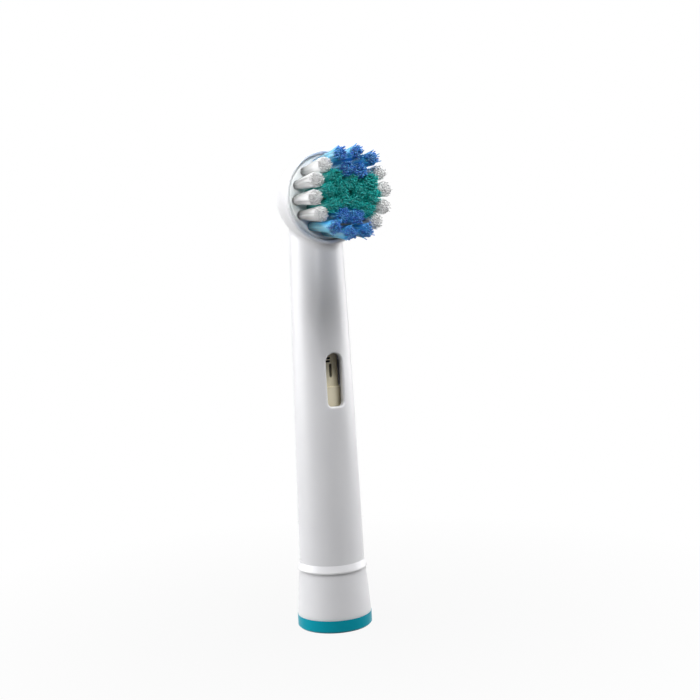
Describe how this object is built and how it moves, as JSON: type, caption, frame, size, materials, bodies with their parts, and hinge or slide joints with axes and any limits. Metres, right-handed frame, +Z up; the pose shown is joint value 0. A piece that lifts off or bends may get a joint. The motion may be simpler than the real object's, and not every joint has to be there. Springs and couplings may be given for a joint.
{
  "type": "electric toothbrush head",
  "caption": "Round oscillating brush head on a tapered tube: a rocking bristle disc in a cup, a drive shaft behind an oval window and a socket base that slides over a handle.",
  "frame": {"origin": "centre of the base, at the mouth of the handle socket", "axes": "+Z up the tube, bristles face -Y, +X to the right seen from the bristle side"},
  "size_m": [0.0162, 0.0231, 0.0835],
  "materials": {
    "white_plastic": "glossy moulded white",
    "ring_plastic": "glossy moulded teal",
    "cream_acetal": "natural acetal",
    "disc_acetal": "satin white acetal",
    "steel_pin": "ground stainless steel",
    "anchor_metal": "drawn brass strip",
    "white_nylon": "white nylon filament",
    "blue_nylon": "blue nylon filament",
    "green_nylon": "green nylon filament"
  },
  "bodies": {
    "housing": {"neck_housing": "white_plastic", "base_sleeve": "white_plastic", "colour_ring": "ring_plastic", "disc_axle": "steel_pin"},
    "drive": {"drive_shaft": "cream_acetal", "crank_pin": "steel_pin"},
    "brush": {"bristle_disc": "disc_acetal", "tuft_anchors": "anchor_metal", "tuft_outer_01": "blue_nylon", "tuft_outer_02": "blue_nylon", "tuft_outer_03": "white_nylon", "tuft_outer_04": "white_nylon", "tuft_outer_05": "white_nylon", "tuft_outer_06": "white_nylon", "tuft_outer_07": "blue_nylon", "tuft_outer_08": "blue_nylon", "tuft_outer_09": "blue_nylon", "tuft_outer_10": "white_nylon", "tuft_outer_11": "white_nylon", "tuft_outer_12": "white_nylon", "tuft_outer_13": "white_nylon", "tuft_outer_14": "blue_nylon", "tuft_middle_01": "blue_nylon", "tuft_middle_02": "green_nylon", "tuft_middle_03": "green_nylon", "tuft_middle_04": "green_nylon", "tuft_middle_05": "blue_nylon", "tuft_middle_06": "blue_nylon", "tuft_middle_07": "green_nylon", "tuft_middle_08": "green_nylon", "tuft_middle_09": "green_nylon", "tuft_middle_10": "blue_nylon", "tuft_inner_01": "green_nylon", "tuft_inner_02": "green_nylon", "tuft_inner_03": "green_nylon", "tuft_inner_04": "green_nylon", "tuft_inner_05": "green_nylon"}
  },
  "joints": [
    {"name": "drive_turn", "type": "hinge", "parent": "housing", "child": "drive", "pos_m": [0, 0, 0.0166], "axis": [0, 0, 1], "range_deg": [-43.2, 20.8]},
    {"name": "disc_rock", "type": "hinge", "parent": "housing", "child": "brush", "pos_m": [0, 0, 0.0754], "axis": [0, 1, 0], "range_deg": [-28.4, 13.7]}
  ],
  "couplings": [
    {"joint": "disc_rock", "follows": "drive_turn", "ratio": 0.655}
  ]
}
